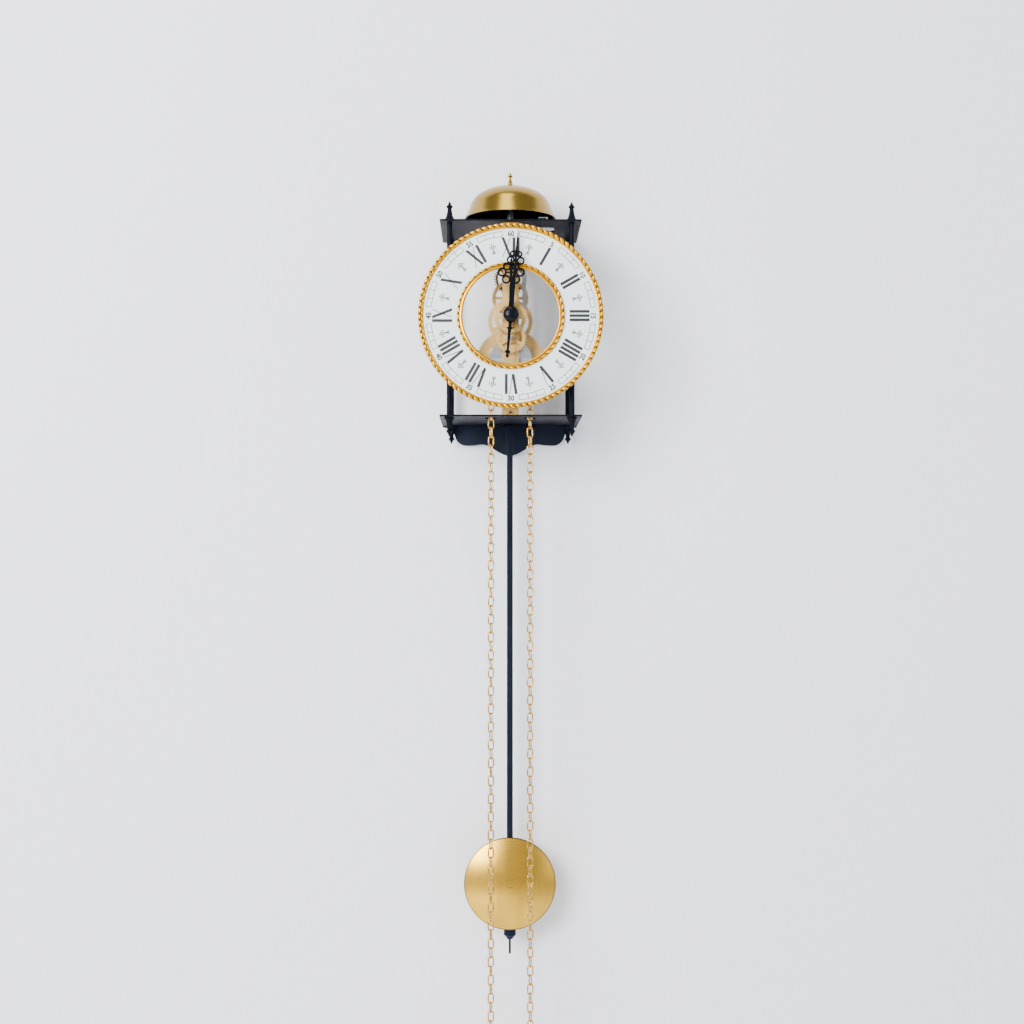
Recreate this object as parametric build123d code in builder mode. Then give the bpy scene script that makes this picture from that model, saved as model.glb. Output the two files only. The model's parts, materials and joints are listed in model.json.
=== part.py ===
import os
from math import cos, pi, radians, sin, sqrt

from build123d import *

# Skeleton wall clock with one chain-driven weight, a pendulum and a bell, in millimetres.
# The origin is the hanging hole, at the back face of the hanger bracket. +Z is up, +X is to the
# right seen from the front, and the front faces -Y. The wall stands wall_gap behind the origin.

os.makedirs("parts", exist_ok=True)

# Driving dimensions of the frame
centre_z = -96.0          # height of the dial centre below the hanging hole
wall_gap = 4.0
plate_width = 121.2
plate_depth = 98.0
plate_thickness = 1.5
top_plate_z = centre_z + 84.0       # top surface of the top plate
bottom_plate_z = centre_z - 83.1    # top surface of the bottom plate
pillar_x = 52.3
pillar_inset = 8.5
pillar_radius = 2.3
spigot_radius = 1.4
fit_gap = 0.05            # radial clearance of a pin in its hole
finial_height = 16.6

# Bell and hammer
bell_y = -49.0
bell_rim_radius = 39.9
bell_rim_z = centre_z + 94.1
bell_height = 28.5
bell_wall = 1.4
bell_finial_height = 12.9
hammer_pivot = (12.0, centre_z + 5.0)
hammer_lever_y = -78.0
hammer_head_place = (28.5, -58.0, centre_z + 93.5)

# Dial
dial_y = -105.6           # back face of the dial
dial_thickness = 0.8
dial_outer_radius = 77.5
dial_inner_radius = 42.5
bezel_radius = 76.9       # middle of the rope section
bezel_rope_radius = 1.6
inner_rope_radius = 1.25
inner_ring_radius = 44.5

# Movement plates and the stations of the train along the arbors
strip_width = 14.0
strip_thickness = 2.0
front_strip_y = -90.0     # back face of the front strip
rear_strip_y = -34.0      # back face of the rear strip
movement_pillar_x = 4.3
movement_pillar_height = 75.0
chain_y = -80.0
great_wheel_y = -66.8     # back faces of the wheels
centre_wheel_y = -72.8
third_wheel_y = -60.8
escape_wheel_y = -55.2
motion_wheel_y = -93.8
hour_wheel_y = -97.2
pendulum_y = -21.5

# Train: tooth counts and arbor heights relative to the dial centre
great_teeth, centre_leaves = 84, 16
centre_teeth, third_leaves = 75, 10
third_teeth, escape_leaves = 64, 8
escape_teeth = 40
cannon_leaves, minute_teeth = 12, 36
minute_leaves, hour_teeth = 10, 40
great_z = centre_z - 35.5
third_z = centre_z + 22.0
escape_z = centre_z + 40.0
minute_z = centre_z - 17.6
swing_z = centre_z + 60.0

# Tooth forms: height beyond and below the pitch circle in modules, then the half thickness as a
# share of the circular pitch at the root, at the pitch circle, near the tip and at the tip
wheel_tooth = (0.9, 1.2, 0.21, 0.19, 0.14, 0.05)
leaf_tooth = (0.55, 1.35, 0.10, 0.17, 0.13, 0.05)

# Chain
chain_pitch = 7.63
chain_wire = 0.6
link_width = 5.8
link_inside_length = chain_pitch + 0.12
sprocket_links = 14
strand_links = 75
chain_radius = chain_pitch / (2 * sin(pi / sprocket_links))
strand_x = chain_radius * cos(pi / sprocket_links)

# Pendulum
rod_width = 5.4
rod_thickness = 2.0
bob_z = centre_z - 490.5
bob_radius = 40.4
nut_radius = 5.4
nut_top_z = bob_z - bob_radius - 0.3
rating_screw_radius = 1.0
rating_screw_end_z = centre_z - 552.3

# Weight
weight_radius = 20.0
weight_height = 139.0

minute_turn = 5.0         # hand positions in degrees past twelve
hour_turn = 0.4

plate_middle_y = -plate_depth / 2
pillar_y_spacing = plate_depth - 2 * pillar_inset
bottom_plate_under_z = bottom_plate_z - plate_thickness
top_plate_under_z = top_plate_z - plate_thickness
strip_front_y = front_strip_y - strip_thickness
rear_strip_front_y = rear_strip_y - strip_thickness


def facing(y, z=centre_z, x=0.0, turn=0.0):
    # a plane whose normal looks out of the clock's front, turned clockwise by turn degrees
    across = (cos(radians(turn)), 0, -sin(radians(turn)))
    return Plane(origin=(x, y, z), x_dir=across, z_dir=(0, -1, 0))


def upright(x, y, z):
    # a plane through a vertical axis, for turned profiles of radius and height
    return Plane(origin=(x, y, z), x_dir=(1, 0, 0), z_dir=(0, -1, 0))


def vertical(x, y):
    return Axis((x, y, 0), (0, 0, 1))


def tooth_points(teeth, module, form):
    tip, root, *shares = form
    pitch_radius = module * teeth / 2
    heights = (-root, 0.0, 0.55 * tip, tip)
    flank = [(pitch_radius + h * module, s * pi * module) for h, s in zip(heights, shares)]
    foot = 0.8 * flank[0][0]
    right = [(foot, flank[0][1])] + flank
    return [(r, -w) for r, w in right] + [(r, w) for r, w in reversed(right)]


def root_radius(teeth, module, form):
    return module * (teeth / 2 - form[1])


def draw_gear(teeth, module, form, phase=0.0):
    # draws a toothed disc in the sketch that is open; phase turns its first tooth, in degrees
    Circle(root_radius(teeth, module, form))
    with PolarLocations(0, teeth, start_angle=phase):
        Polygon(*tooth_points(teeth, module, form), align=None)


def draw_windows(inner, outer, spokes, spoke_width, start=0.0):
    # cuts the windows between a wheel's spokes in the sketch that is open
    with BuildSketch(mode=Mode.PRIVATE) as window:
        Circle(outer)
        Circle(inner, mode=Mode.SUBTRACT)
        with PolarLocations(outer / 2, spokes, start_angle=start):
            Rectangle(outer * 1.1, spoke_width, mode=Mode.SUBTRACT)
    add(window.sketch, mode=Mode.SUBTRACT)


def finish(piece, name):
    piece.part.label = name
    export_step(piece.part, f"parts/{name}.step")


# Frame plates

with BuildPart() as top_plate:
    with BuildSketch(Plane.XY.offset(top_plate_under_z)):
        with Locations((0, plate_middle_y)):
            RectangleRounded(plate_width, plate_depth, 1.0)
            with GridLocations(2 * pillar_x, pillar_y_spacing, 2, 2):
                Circle(spigot_radius + fit_gap, mode=Mode.SUBTRACT)
        with Locations((25.2, -58.5)):
            RectangleRounded(26.4, 20.3, 4.5, mode=Mode.SUBTRACT)
        with Locations((0, bell_y)):
            Circle(2.0 + fit_gap, mode=Mode.SUBTRACT)
    extrude(amount=plate_thickness)
finish(top_plate, "top_plate")

chain_hole = (10.0, 13.0)
pendulum_slot = (49.0, 6.0)
with BuildPart() as bottom_plate:
    with BuildSketch(Plane.XY.offset(bottom_plate_under_z)):
        with Locations((0, plate_middle_y)):
            RectangleRounded(plate_width, plate_depth, 1.0)
            with GridLocations(2 * pillar_x, pillar_y_spacing, 2, 2):
                Circle(spigot_radius + fit_gap, mode=Mode.SUBTRACT)
        with Locations((-strand_x, chain_y), (strand_x, chain_y)):
            RectangleRounded(*chain_hole, 3.0, mode=Mode.SUBTRACT)
        with Locations((0, pendulum_y)):
            RectangleRounded(*pendulum_slot, 2.0, mode=Mode.SUBTRACT)
    extrude(amount=plate_thickness)
finish(bottom_plate, "bottom_plate")

apron_thickness = 1.5
with BuildPart() as back_apron:
    with BuildSketch(facing(0, z=bottom_plate_under_z)):
        with BuildLine():
            shoulder = Line((plate_width / 2, 0), (plate_width / 2, -1.0))
            side = ThreePointArc(shoulder @ 1, (52.3, -4.4), (48.8, -11.0))
            lobe = ThreePointArc(side @ 1, (45.0, -15.6), (39.0, -17.5))
            waist = TangentArc(lobe @ 1, (27.0, -16.6), tangent=lobe % 1)
            Spline(waist @ 1, (12.0, -22.2), (0, -26.9), tangents=[waist % 1, (-1.0, -0.15)])
            mirror(about=Plane.YZ)
            Line((plate_width / 2, 0), (-plate_width / 2, 0))
        make_face()
    extrude(amount=apron_thickness)
finish(back_apron, "back_apron")

hanger_hole_radius = 2.5
hanger_width = 52.0
with BuildPart() as hanger_bracket:
    with BuildSketch(facing(0, z=0)):
        with Locations((0, top_plate_z / 2 - 1.5)):
            RectangleRounded(hanger_width, -top_plate_z - 3.0, 2.5)
        with Locations((0, top_plate_z + 2.0)):
            Rectangle(hanger_width, 4.0)
        Circle(8.0)
        Circle(hanger_hole_radius, mode=Mode.SUBTRACT)
    extrude(amount=1.5)
    with BuildSketch(Plane.XY.offset(top_plate_z)):
        with Locations((0, -3.5)):
            Rectangle(hanger_width, 7.0)
    extrude(amount=1.2)
finish(hanger_bracket, "hanger_bracket")

spacer_radius = 3.0
spacer_places = [(-20, -6.0), (20, -6.0), (-42, bottom_plate_z - 9.0), (42, bottom_plate_z - 9.0)]
with BuildPart() as wall_spacers:
    with BuildSketch(Plane(origin=(0, 0, 0), x_dir=(1, 0, 0), z_dir=(0, -1, 0))):
        with Locations(*spacer_places):
            Circle(spacer_radius)
    extrude(amount=-wall_gap)
finish(wall_spacers, "wall_spacers")

# Pillars and finials

with BuildPart() as pillars:
    with BuildSketch(Plane.XY.offset(bottom_plate_z)):
        with Locations((0, plate_middle_y)):
            with GridLocations(2 * pillar_x, pillar_y_spacing, 2, 2):
                Circle(pillar_radius)
    extrude(amount=top_plate_under_z - bottom_plate_z)
    with BuildSketch(Plane.XY.offset(bottom_plate_z - 6.0)):
        with Locations((0, plate_middle_y)):
            with GridLocations(2 * pillar_x, pillar_y_spacing, 2, 2):
                Circle(spigot_radius)
    extrude(amount=top_plate_under_z - bottom_plate_z + 12.0)
finish(pillars, "pillars")

# one spire finial, standing on the origin, with a blind hole for the pillar's spigot
with BuildPart() as spire:
    with BuildSketch(upright(0, 0, 0)):
        with BuildLine():
            Line((0, 0), (4.4, 0))
            Line((4.4, 0), (4.4, 0.9))
            flare = Spline((4.4, 0.9), (2.6, 5.0), (1.75, 10.6), tangents=[(-0.7, 1), (-0.1, 1)])
            barb = Line(flare @ 1, (2.75, 11.9))
            edge = Line(barb @ 1, (2.75, 12.4))
            Polyline(edge @ 1, (1.45, 14.0), (0.35, finial_height), (0, finial_height))
            Line((0, finial_height), (0, 0))
        make_face()
    revolve(axis=Axis.Z)
    with BuildSketch(Plane.XY):
        Circle(spigot_radius + fit_gap)
    extrude(amount=6.0, mode=Mode.SUBTRACT)

pillar_places = [(x, y) for x in (-pillar_x, pillar_x) for y in (-pillar_inset, pillar_inset - plate_depth)]
with BuildPart() as top_finials:
    with Locations(*[(x, y, top_plate_z) for x, y in pillar_places]):
        add(spire.part)
finish(top_finials, "top_finials")

with BuildPart() as bottom_finials:
    with Locations(*[Location((x, y, bottom_plate_under_z), (180, 0, 0)) for x, y in pillar_places]):
        add(spire.part)
finish(bottom_finials, "bottom_finials")

# Bell, its post and its finial

bell_top_z = bell_rim_z + bell_height
with BuildPart() as bell_post:
    with BuildSketch(upright(0, bell_y, 0)):
        with BuildLine():
            Polyline(
                (0, top_plate_z - 4.5),
                (2.0, top_plate_z - 4.5),
                (2.0, top_plate_z),
                (5.0, top_plate_z),
                (5.0, top_plate_z + 2.0),
                (3.0, top_plate_z + 4.0),
                (2.5, bell_top_z - bell_wall - 4.0),
                (4.2, bell_top_z - bell_wall - 2.2),
                (4.2, bell_top_z - bell_wall - 0.1),
                (1.4, bell_top_z - bell_wall - 0.1),
                (1.4, bell_top_z + 4.0),
                (0, bell_top_z + 4.0),
                close=True,
            )
        make_face()
    revolve(axis=vertical(0, bell_y))
    # nut under the plate
    with BuildSketch(Plane.XY.offset(top_plate_under_z)):
        with Locations((0, bell_y)):
            RegularPolygon(4.0, 6)
    extrude(amount=-2.6)
finish(bell_post, "bell_post")

with BuildPart() as bell:
    with BuildSketch(upright(0, bell_y, bell_rim_z)):
        with BuildLine():
            lip = Line((bell_rim_radius - bell_wall, 0), (bell_rim_radius, 0))
            flare = Spline(lip @ 1, (37.3, 5.6), (34.8, 12.0), tangents=[(-0.6, 1), (-0.34, 1)])
            dome = Spline(flare @ 1, (22.2, 24.4), (0, bell_height), tangents=[flare % 1, (-1, 0)])
            Line(dome @ 1, (0, bell_height - bell_wall))
            inner = Spline(
                (0, bell_height - bell_wall),
                (21.3, 23.2),
                (33.4, 11.6),
                tangents=[(1, 0), -(flare % 1)],
            )
            Spline(inner @ 1, (35.9, 5.4), lip @ 0, tangents=[inner % 1, (0.6, -1)])
        make_face()
    revolve(axis=vertical(0, bell_y))
    with BuildSketch(Plane.XY.offset(bell_top_z - 4.0)):
        with Locations((0, bell_y)):
            Circle(1.4 + fit_gap)
    extrude(amount=8.0, mode=Mode.SUBTRACT)
finish(bell, "bell")

with BuildPart() as bell_finial:
    with BuildSketch(upright(0, bell_y, bell_top_z + 0.05)):
        with BuildLine():
            foot = Line((1.4 + fit_gap, 0), (3.1, 0))
            edge = Line(foot @ 1, (3.1, 0.7))
            flare = Spline(edge @ 1, (1.75, 3.6), (1.1, 8.2), tangents=[(-0.6, 1), (-0.1, 1)])
            barb = Line(flare @ 1, (2.3, 9.3))
            Polyline(barb @ 1, (2.3, 9.7), (0.9, 11.0), (0.3, bell_finial_height), (0, bell_finial_height))
            Polyline((0, bell_finial_height), (0, 4.2), (1.4 + fit_gap, 4.2), foot @ 0)
        make_face()
    revolve(axis=vertical(0, bell_y))
finish(bell_finial, "bell_finial")

# Dial

dial_front_y = dial_y - dial_thickness
with BuildPart() as dial:
    with BuildSketch(facing(dial_y)):
        Circle(dial_outer_radius)
        Circle(dial_inner_radius, mode=Mode.SUBTRACT)
    extrude(amount=dial_thickness)
finish(dial, "dial")

# ring of rope section with a flat flange that lies on the dial
with BuildPart() as dial_bezel:
    with BuildSketch(Plane.XY.offset(centre_z)):
        with Locations((bezel_radius, dial_front_y - bezel_rope_radius + 0.4)):
            Circle(bezel_rope_radius)
        with Locations((bezel_radius - 1.4, dial_front_y - 0.6)):
            Rectangle(3.0, 1.2)
        with Locations((dial_outer_radius + 2.5, dial_y)):
            Rectangle(5.0, 2 * dial_thickness + 0.1, mode=Mode.SUBTRACT)
        with Locations((dial_outer_radius - 2.5, dial_y)):
            Rectangle(5.2, 2 * dial_thickness + 0.002, mode=Mode.SUBTRACT)
    revolve(axis=Axis((0, 0, centre_z), (0, 1, 0)))
finish(dial_bezel, "dial_bezel")

with BuildPart() as inner_ring:
    with BuildSketch(Plane.XY.offset(centre_z)):
        with Locations((inner_ring_radius, dial_front_y - inner_rope_radius + 0.3)):
            Circle(inner_rope_radius)
        with Locations((inner_ring_radius - 1.9, dial_front_y - 0.6)):
            Rectangle(3.4, 1.2)
        with Locations((inner_ring_radius, dial_y)):
            Rectangle(8.0, 2 * dial_thickness + 0.002, mode=Mode.SUBTRACT)
    revolve(axis=Axis((0, 0, centre_z), (0, 1, 0)))
finish(inner_ring, "inner_ring")

# four feet: a collar clamped on a front pillar and a post that carries the dial
front_pillar_y = pillar_inset - plate_depth
dial_foot_height = 40.0
collar_height = 6.0
with BuildPart() as dial_feet:
    for side in (-1, 1):
        for level in (-1, 1):
            foot_z = centre_z + level * dial_foot_height
            with BuildSketch(Plane.XY.offset(foot_z - collar_height / 2)):
                with Locations((side * pillar_x, front_pillar_y)):
                    Circle(4.4)
            extrude(amount=collar_height)
            with BuildSketch(facing(front_pillar_y - 3.0, z=foot_z, x=side * pillar_x)):
                Circle(1.6)
            extrude(amount=front_pillar_y - 3.0 - dial_y)
    with BuildSketch(Plane.XY.offset(centre_z - dial_foot_height - collar_height)):
        with Locations((-pillar_x, front_pillar_y), (pillar_x, front_pillar_y)):
            Circle(pillar_radius + 0.02)
    extrude(amount=2 * dial_foot_height + 2 * collar_height, mode=Mode.SUBTRACT)
finish(dial_feet, "dial_feet")

# Movement plates

pivot_radius = 0.8
strip_bottom_z = bottom_plate_z
strip_length = top_plate_under_z - bottom_plate_z
strip_middle_z = (top_plate_under_z + bottom_plate_z) / 2
movement_pillar_places = [
    (x, level * movement_pillar_height)
    for x in (-movement_pillar_x, movement_pillar_x)
    for level in (-1, 1)
]
foot_depth = 9.0
foot_height = 1.2
ear_reach = 3.2

with BuildPart() as front_movement_plate:
    with BuildSketch(facing(front_strip_y)):
        with Locations((0, strip_middle_z - centre_z)):
            Rectangle(strip_width, strip_length)
        # ear that carries the hammer's stud
        with Locations((hammer_pivot[0] - 3.0, hammer_pivot[1] - centre_z)):
            SlotOverall(12.4, 2 * ear_reach)
        with Locations(*[(0, z - centre_z) for z in (great_z, third_z, escape_z, swing_z)]):
            Circle(pivot_radius + fit_gap, mode=Mode.SUBTRACT)
        Circle(1.2 + fit_gap, mode=Mode.SUBTRACT)
        with Locations(*movement_pillar_places):
            Circle(1.0 + fit_gap, mode=Mode.SUBTRACT)
        with Locations((0, minute_z - centre_z), (hammer_pivot[0], hammer_pivot[1] - centre_z)):
            Circle(0.9 + fit_gap, mode=Mode.SUBTRACT)
        # notch between the two toes that stand on the bottom plate
        with Locations((0, strip_bottom_z - centre_z)):
            Polygon((-4.2, -0.1), (4.2, -0.1), (0, 4.6), align=None, mode=Mode.SUBTRACT)
    extrude(amount=strip_thickness)
    with BuildSketch(Plane.XY.offset(strip_bottom_z)):
        with Locations((0, front_strip_y + foot_depth / 2)):
            Rectangle(strip_width, foot_depth)
    extrude(amount=foot_height)
    with BuildSketch(Plane.XY.offset(top_plate_under_z)):
        with Locations((0, front_strip_y + foot_depth / 2)):
            Rectangle(strip_width, foot_depth)
    extrude(amount=-foot_height)
finish(front_movement_plate, "front_movement_plate")

with BuildPart() as rear_movement_plate:
    with BuildSketch(facing(rear_strip_y)):
        with Locations((0, strip_middle_z - centre_z)):
            Rectangle(strip_width, strip_length)
        with Locations(*[(0, z - centre_z) for z in (great_z, centre_z, third_z, escape_z)]):
            Circle(pivot_radius + fit_gap, mode=Mode.SUBTRACT)
        with Locations((0, swing_z - centre_z)):
            Circle(2.2, mode=Mode.SUBTRACT)
        with Locations(*movement_pillar_places):
            Circle(1.0 + fit_gap, mode=Mode.SUBTRACT)
    extrude(amount=strip_thickness)
    with BuildSketch(Plane.XY.offset(strip_bottom_z)):
        with Locations((0, rear_strip_front_y - foot_depth / 2)):
            Rectangle(strip_width, foot_depth)
    extrude(amount=foot_height)
    with BuildSketch(Plane.XY.offset(top_plate_under_z)):
        with Locations((0, rear_strip_front_y - foot_depth / 2)):
            Rectangle(strip_width, foot_depth)
    extrude(amount=-foot_height)
finish(rear_movement_plate, "rear_movement_plate")

with BuildPart() as movement_pillars:
    with BuildSketch(facing(rear_strip_front_y)):
        with Locations(*movement_pillar_places):
            Circle(1.8)
    extrude(amount=rear_strip_front_y - front_strip_y)
    with BuildSketch(facing(rear_strip_y - 0.2)):
        with Locations(*movement_pillar_places):
            Circle(1.0)
    extrude(amount=rear_strip_y - strip_front_y - 0.4)
finish(movement_pillars, "movement_pillars")

screw_head_radius = 2.1
screw_head_height = 1.1
with BuildPart() as movement_screws:
    for face_y, direction in ((strip_front_y, 1), (rear_strip_y, -1)):
        with BuildSketch(facing(face_y)):
            with Locations(*movement_pillar_places):
                Circle(screw_head_radius)
        extrude(amount=direction * screw_head_height)
        with BuildSketch(facing(face_y + direction * -screw_head_height)):
            with Locations(*movement_pillar_places):
                Rectangle(5.0, 0.6, rotation=35)
        extrude(amount=direction * -0.5, mode=Mode.SUBTRACT)
    for foot_y in (front_strip_y + 5.5, rear_strip_front_y - 5.5):
        for head_z, direction in ((strip_bottom_z + foot_height, 1), (top_plate_under_z - foot_height, -1)):
            with BuildSketch(Plane.XY.offset(head_z)):
                with Locations((0, foot_y)):
                    Circle(screw_head_radius)
            extrude(amount=direction * screw_head_height)
finish(movement_screws, "movement_screws")

# studs that the minute wheel and the hammer lever turn on
stud_radius = 0.9
with BuildPart() as movement_studs:
    with BuildSketch(facing(front_strip_y, z=minute_z)):
        Circle(stud_radius)
    extrude(amount=14.2)
    with BuildSketch(facing(hour_wheel_y - 4.4, z=minute_z)):
        Circle(1.7)
    extrude(amount=0.9)
    with BuildSketch(facing(strip_front_y + 0.2, z=hammer_pivot[1], x=hammer_pivot[0])):
        Circle(stud_radius)
    extrude(amount=-15.4)
    with BuildSketch(facing(hammer_lever_y + 1.0, z=hammer_pivot[1], x=hammer_pivot[0])):
        Circle(1.8)
    extrude(amount=-0.6)
finish(movement_studs, "movement_studs")

# block behind the rear strip: it carries the anchor's rear pivot and clamps the suspension spring
cock_half_width = 8.0
spring_half_thickness = 0.08
with BuildPart() as suspension_cock:
    with BuildSketch(facing(rear_strip_y + 17.0, z=swing_z)):
        Rectangle(2 * cock_half_width, 20.0)
    extrude(amount=17.0)
    # two pockets, open below, for the crutch and for the spring, with a wall between them
    with BuildSketch(facing(rear_strip_y + 6.0, z=swing_z - 4.0)):
        Rectangle(11.0, 15.0)
    extrude(amount=6.0, mode=Mode.SUBTRACT)
    with BuildSketch(facing(rear_strip_y + 18.0, z=swing_z - 4.0)):
        Rectangle(11.0, 15.0)
    extrude(amount=10.0, mode=Mode.SUBTRACT)
    with BuildSketch(facing(rear_strip_y + 9.0, z=swing_z)):
        Circle(pivot_radius + fit_gap)
    extrude(amount=4.0, mode=Mode.SUBTRACT)
    with BuildSketch(facing(rear_strip_y + 18.0, z=swing_z + 6.2)):
        Rectangle(2 * spring_half_thickness + 0.1, 6.0)
    extrude(amount=9.0, mode=Mode.SUBTRACT)
finish(suspension_cock, "suspension_cock")

# bar in front of the sprocket whose bent ends keep the chain on it
guard_reach = 21.2
with BuildPart() as chain_guard:
    with BuildSketch(facing(chain_y - 5.6, z=great_z)):
        Rectangle(2 * guard_reach, 3.4)
        Circle(3.2)
        Circle(2.2, mode=Mode.SUBTRACT)
    extrude(amount=1.0)
    with BuildSketch(facing(chain_y + 6.0, z=great_z)):
        with Locations((-guard_reach + 0.5, 0), (guard_reach - 0.5, 0)):
            Rectangle(1.0, 3.4)
    extrude(amount=12.0)
    with BuildSketch(facing(chain_y - 6.6, z=great_z)):
        with Locations((-4.6, 0), (4.6, 0)):
            Circle(1.2)
    extrude(amount=-(front_strip_y - chain_y + 6.6))
finish(chain_guard, "chain_guard")

# Great wheel, click, ratchet and sprocket

great_module = 2 * (centre_z - great_z) / (great_teeth + centre_leaves)
ratchet_y = -71.0
click_place = (12.4, 13.4)          # from the great arbor
with BuildPart() as great_wheel:
    with BuildSketch(facing(great_wheel_y, z=great_z)):
        draw_gear(great_teeth, great_module, wheel_tooth, phase=90)
        Circle(1.6, mode=Mode.SUBTRACT)
    extrude(amount=1.8)
    with BuildSketch(facing(great_wheel_y, z=great_z)):
        Circle(4.4)
        Circle(1.6, mode=Mode.SUBTRACT)
    extrude(amount=-3.0)
    # stud for the click
    with BuildSketch(facing(great_wheel_y - 1.8, z=great_z)):
        with Locations(click_place):
            Circle(1.2)
    extrude(amount=3.8)
finish(great_wheel, "great_wheel")

with BuildPart() as great_arbor:
    with BuildSketch(facing(rear_strip_front_y - 0.3, z=great_z)):
        Circle(1.6)
    extrude(amount=rear_strip_front_y - front_strip_y - 0.6)
    with BuildSketch(facing(rear_strip_y + 0.4, z=great_z)):
        Circle(pivot_radius)
    extrude(amount=rear_strip_y - strip_front_y + 0.8)
finish(great_arbor, "great_arbor")

ratchet_teeth = 30
ratchet_radius = 12.0
with BuildPart() as ratchet_wheel:
    with BuildSketch(facing(ratchet_y, z=great_z)):
        Circle(ratchet_radius - 1.5)
        with PolarLocations(0, ratchet_teeth):
            Polygon((9.6, -1.3), (ratchet_radius, 0.75), (10.1, 1.0), (9.6, 0.4), align=None)
        Circle(5.0, mode=Mode.SUBTRACT)
    extrude(amount=1.4)
finish(ratchet_wheel, "ratchet_wheel")

# the click is shown just clear of the ratchet's teeth
with BuildPart() as click:
    with BuildSketch(facing(ratchet_y, z=great_z)):
        with Locations(click_place):
            Circle(2.6)
        Polygon((13.4, 15.8), (5.2, 14.9), (2.4, 12.5), (3.0, 12.2), (11.4, 11.0), align=None)
        with Locations(click_place):
            Circle(1.2 + fit_gap, mode=Mode.SUBTRACT)
    extrude(amount=1.2)
finish(click, "click")

drum_radius = 15.9
groove_radius = 13.2
guard_radius = 18.5
guard_thickness = 1.4
drum_half_width = 3.6
groove_half_width = 1.1
lug_length = 3.2
with BuildPart() as chain_sprocket:
    with BuildSketch(facing(chain_y + drum_half_width, z=great_z)):
        Circle(drum_radius)
        with PolarLocations(0, sprocket_links // 2):
            with Locations((drum_radius + 0.4, 0)):
                Rectangle(2.4, lug_length)
    extrude(amount=2 * drum_half_width)
    with BuildSketch(facing(chain_y + groove_half_width, z=great_z)):
        Circle(guard_radius + 2.0)
        Circle(groove_radius, mode=Mode.SUBTRACT)
    extrude(amount=2 * groove_half_width, mode=Mode.SUBTRACT)
    for back_y in (chain_y + drum_half_width + guard_thickness, chain_y - drum_half_width):
        with BuildSketch(facing(back_y, z=great_z)):
            Circle(guard_radius)
        extrude(amount=guard_thickness)
    # turned groove in the front guard
    with BuildSketch(facing(chain_y - drum_half_width - guard_thickness + 0.6, z=great_z)):
        Circle(14.6)
        Circle(13.2, mode=Mode.SUBTRACT)
    extrude(amount=1.0, mode=Mode.SUBTRACT)
    with BuildSketch(facing(great_wheel_y - 2.2, z=great_z)):
        Circle(4.95)
    extrude(amount=great_wheel_y - 2.2 - chain_y - drum_half_width)
    with BuildSketch(facing(great_wheel_y, z=great_z)):
        Circle(1.6 + fit_gap)
    extrude(amount=30.0, mode=Mode.SUBTRACT)
finish(chain_sprocket, "chain_sprocket")

# Going train

centre_module = 2 * (third_z - centre_z) / (centre_teeth + third_leaves)
third_module = 2 * (escape_z - third_z) / (third_teeth + escape_leaves)
hand_end_y = -117.4
leaf_phase_below = 270 + 180 / centre_leaves
with BuildPart() as centre_arbor:
    with BuildSketch(facing(rear_strip_front_y - 0.3)):
        Circle(1.2)
    extrude(amount=rear_strip_front_y - 0.3 - hand_end_y)
    with BuildSketch(facing(rear_strip_y + 0.4)):
        Circle(pivot_radius)
    extrude(amount=4.0)
    with BuildSketch(facing(great_wheel_y + 1.8)):
        draw_gear(centre_leaves, great_module, leaf_tooth, phase=leaf_phase_below)
    extrude(amount=6.0)
    with BuildSketch(facing(great_wheel_y - 4.2)):
        Circle(3.0)
    extrude(amount=great_wheel_y - 4.2 - centre_wheel_y)
finish(centre_arbor, "centre_arbor")

wheel_thickness = 1.4
with BuildPart() as centre_wheel:
    with BuildSketch(facing(centre_wheel_y)):
        draw_gear(centre_teeth, centre_module, wheel_tooth, phase=90)
        draw_windows(6.0, 15.6, 4, 3.2, start=28)
        Circle(1.2, mode=Mode.SUBTRACT)
    extrude(amount=wheel_thickness)
finish(centre_wheel, "centre_wheel")

with BuildPart() as strike_cam:
    with BuildSketch(facing(hammer_lever_y + 0.4)):
        Circle(4.4)
        with PolarLocations(0, 2, start_angle=150):
            Polygon((2.0, -3.6), (8.4, -1.2), (8.6, 0.4), (3.4, 2.6), align=None)
        Circle(1.2, mode=Mode.SUBTRACT)
    extrude(amount=2.4)
finish(strike_cam, "strike_cam")

with BuildPart() as third_arbor:
    with BuildSketch(facing(rear_strip_front_y - 0.3, z=third_z)):
        Circle(1.1)
    extrude(amount=rear_strip_front_y - front_strip_y - 0.6)
    with BuildSketch(facing(rear_strip_y + 0.4, z=third_z)):
        Circle(pivot_radius)
    extrude(amount=rear_strip_y - strip_front_y + 0.8)
    with BuildSketch(facing(centre_wheel_y + 1.2, z=third_z)):
        draw_gear(third_leaves, centre_module, leaf_tooth, phase=270 + 180 / third_leaves)
    extrude(amount=4.0)
    with BuildSketch(facing(third_wheel_y + 1.6, z=third_z)):
        Circle(2.6)
    extrude(amount=4.4)
finish(third_arbor, "third_arbor")

with BuildPart() as third_wheel:
    with BuildSketch(facing(third_wheel_y, z=third_z)):
        draw_gear(third_teeth, third_module, wheel_tooth, phase=90)
        draw_windows(5.0, 12.6, 4, 2.6, start=0)
        Circle(2.6, mode=Mode.SUBTRACT)
    extrude(amount=1.2)
finish(third_wheel, "third_wheel")

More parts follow.
